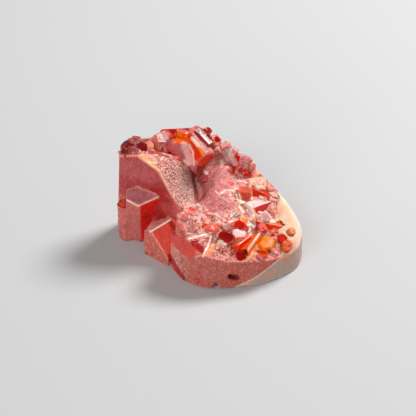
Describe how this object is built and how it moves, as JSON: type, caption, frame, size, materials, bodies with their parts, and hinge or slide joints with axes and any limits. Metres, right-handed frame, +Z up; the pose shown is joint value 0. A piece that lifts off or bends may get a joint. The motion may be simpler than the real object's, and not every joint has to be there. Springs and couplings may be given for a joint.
{
  "type": "vanadinite druse specimen",
  "caption": "Free-form cut druse of red hexagonal vanadinite crystals on cream matrix, with ground sides and a flat sawn back.",
  "frame": {"origin": "centre of the bounding box, at the level of the sawn back", "axes": "+Z up from the sawn back, +X to the right along the length, towards the bare matrix, -Y towards the ground front"},
  "size_m": [0.0168, 0.0124, 0.0098],
  "materials": {
    "vanadinite": "translucent red crystal, glassy on crystal faces, frosted on the central lump and on the ground sides",
    "matrix": "cream to tan fine-grained rock, ground to a satin surface",
    "orange_vanadinite": "translucent orange crystal with glassy faces"
  },
  "bodies": {
    "root": {"crystal_crust": "vanadinite", "matrix": "matrix", "edge_crystal_1": "orange_vanadinite", "edge_crystal_2": "orange_vanadinite"}
  },
  "joints": []
}
